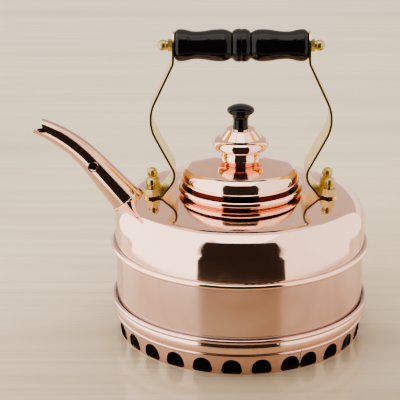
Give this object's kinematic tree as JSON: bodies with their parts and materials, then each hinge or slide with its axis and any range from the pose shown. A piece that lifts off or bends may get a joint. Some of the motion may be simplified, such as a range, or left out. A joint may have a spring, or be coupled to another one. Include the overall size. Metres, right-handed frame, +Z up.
{
  "type": "stove-top tea kettle",
  "caption": "Round copper tea kettle on a perforated skirt, with a beaked side spout, a fixed overhead handle with a turned black grip, and a lift-off domed lid with a black knob.",
  "frame": {"origin": "on the vessel's axis, at the level of the skirt's lower edge, which the kettle stands on", "axes": "+Z up along the vessel's axis; the spout points to -X; the handle lies in the XZ plane"},
  "size_m": [0.2617, 0.203, 0.2428],
  "materials": {
    "polished_copper": "polished copper sheet, close to a mirror",
    "satin_copper": "satin copper sheet, brushed around the axis",
    "skirt_copper": "polished copper band",
    "coil_copper": "dull drawn copper wire",
    "polished_brass": "polished brass",
    "plain_brass": "machined brass",
    "black_lacquered_wood": "black gloss lacquer over turned wood"
  },
  "bodies": {
    "vessel": {"base_ring": "skirt_copper", "heat_coil": "coil_copper", "base_pan": "polished_copper", "drum_wall": "satin_copper", "dome_shell": "polished_copper", "lid_seat_collar": "polished_copper", "spout_ring": "polished_copper", "spout_tube": "polished_copper", "spout_vent_eyelet": "polished_copper", "handle_strip_left": "polished_brass", "handle_strip_right": "polished_brass", "foot_studs": "plain_brass", "foot_washers": "plain_brass", "foot_nuts": "polished_brass", "handle_rod": "plain_brass", "handle_grip": "black_lacquered_wood", "handle_end_nuts": "polished_brass"},
    "lid": {"lid_cover": "polished_copper", "lid_skirt": "polished_copper", "lid_bulge": "polished_copper", "lid_pedestal": "polished_copper", "knob_ferrule": "polished_copper", "lid_knob": "black_lacquered_wood", "knob_screw": "plain_brass", "knob_washer": "plain_brass"}
  },
  "joints": [
    {"name": "lid_lift", "type": "slide", "parent": "vessel", "child": "lid", "axis": [0, 0, 1], "range_m": [0, 0.03]}
  ]
}
